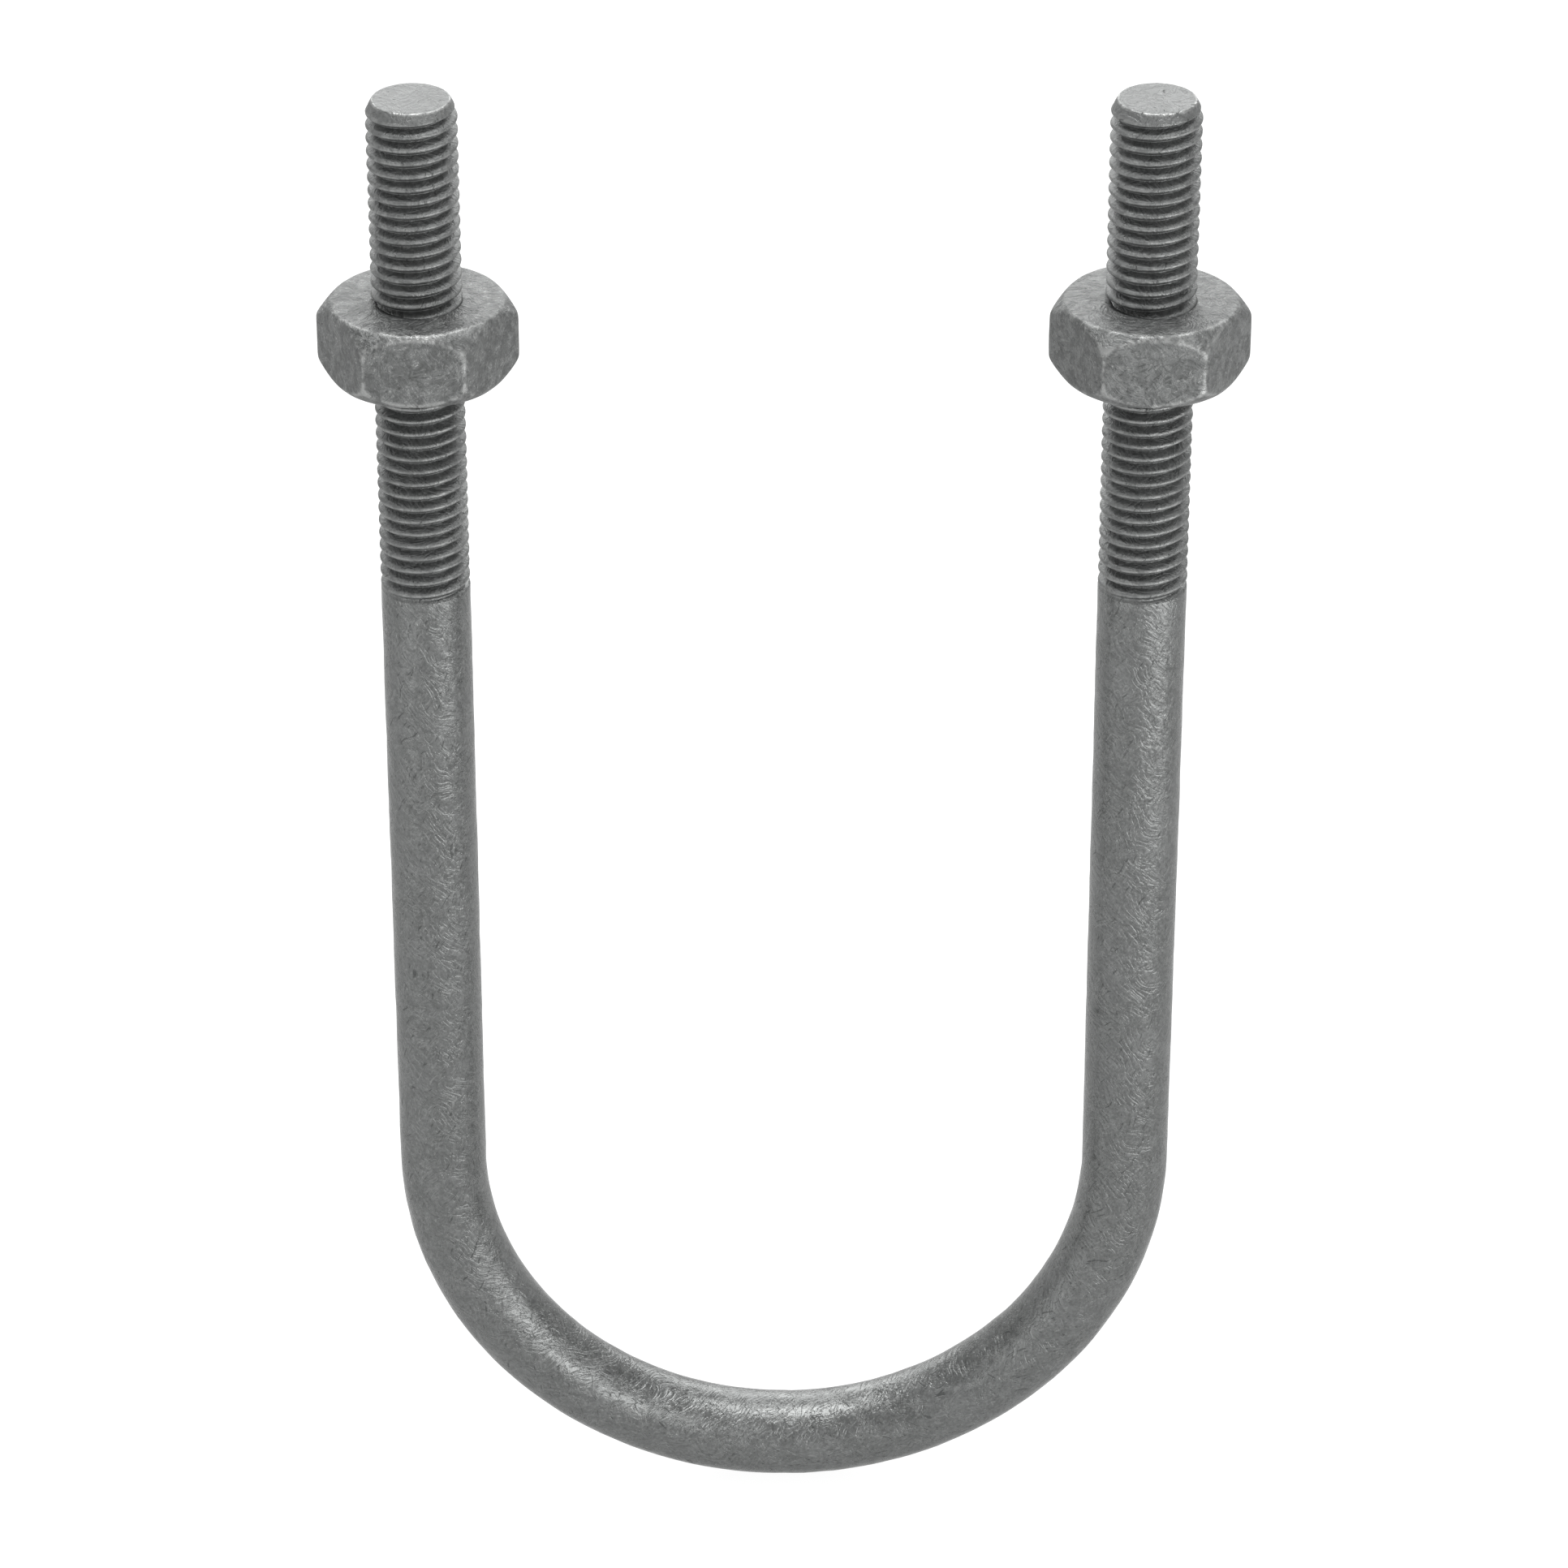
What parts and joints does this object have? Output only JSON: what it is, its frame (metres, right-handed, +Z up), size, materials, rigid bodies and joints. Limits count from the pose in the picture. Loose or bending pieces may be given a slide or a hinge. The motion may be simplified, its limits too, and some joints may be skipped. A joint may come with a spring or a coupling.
{
  "type": "u-bolt",
  "caption": "Round bar bent into a U, threaded on both legs, with a chamfered hexagon nut on each, to clamp a pipe to a plate or beam.",
  "frame": {"origin": "the lowest point of the bend, midway between the legs, so the part stands on z = 0 with its legs up", "axes": "+Z up along the legs, towards their threaded ends; +X across, from the left leg to the right leg; +Y to the back, along the clamped pipe's axis"},
  "size_m": [0.13, 0.0248, 0.2281],
  "materials": {
    "bar_zinc": "dull mottled zinc grey, weathered hot-dip galvanised look",
    "nut_zinc": "dull zinc grey with fine vertical brush marks and bright worn edges"
  },
  "bodies": {
    "bar": {"u_bar": "bar_zinc"},
    "left_nut": {"left_nut": "nut_zinc"},
    "right_nut": {"right_nut": "nut_zinc"}
  },
  "joints": [
    {"name": "left_nut_travel", "type": "slide", "parent": "bar", "child": "left_nut", "axis": [0, 0, 1], "range_m": [-0.03322, 0.03712]},
    {"name": "right_nut_travel", "type": "slide", "parent": "bar", "child": "right_nut", "axis": [0, 0, 1], "range_m": [-0.03322, 0.03712]}
  ]
}
